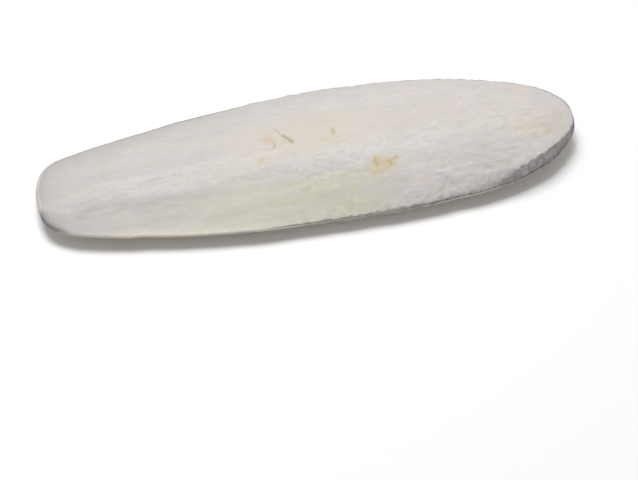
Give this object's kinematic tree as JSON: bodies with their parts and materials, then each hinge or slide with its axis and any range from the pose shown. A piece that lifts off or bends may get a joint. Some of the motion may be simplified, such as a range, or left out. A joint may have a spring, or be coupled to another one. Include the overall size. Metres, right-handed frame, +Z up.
{
  "type": "cuttlebone",
  "caption": "Long oval cuttlebone lying on its convex hard shield, with a domed chalky face, a thick front end with a steep side and a thin blunt tail.",
  "frame": {"origin": "on the resting surface, under the centre of the bone's bounding box", "axes": "+X points to the thick front end, -X to the thin tail end, +Y across the bone, +Z up through the chalky face"},
  "size_m": [0.18, 0.061, 0.0164],
  "materials": {
    "chalk": "matt, dry and powdery"
  },
  "bodies": {
    "root": {"cuttlebone": "chalk"}
  },
  "joints": []
}
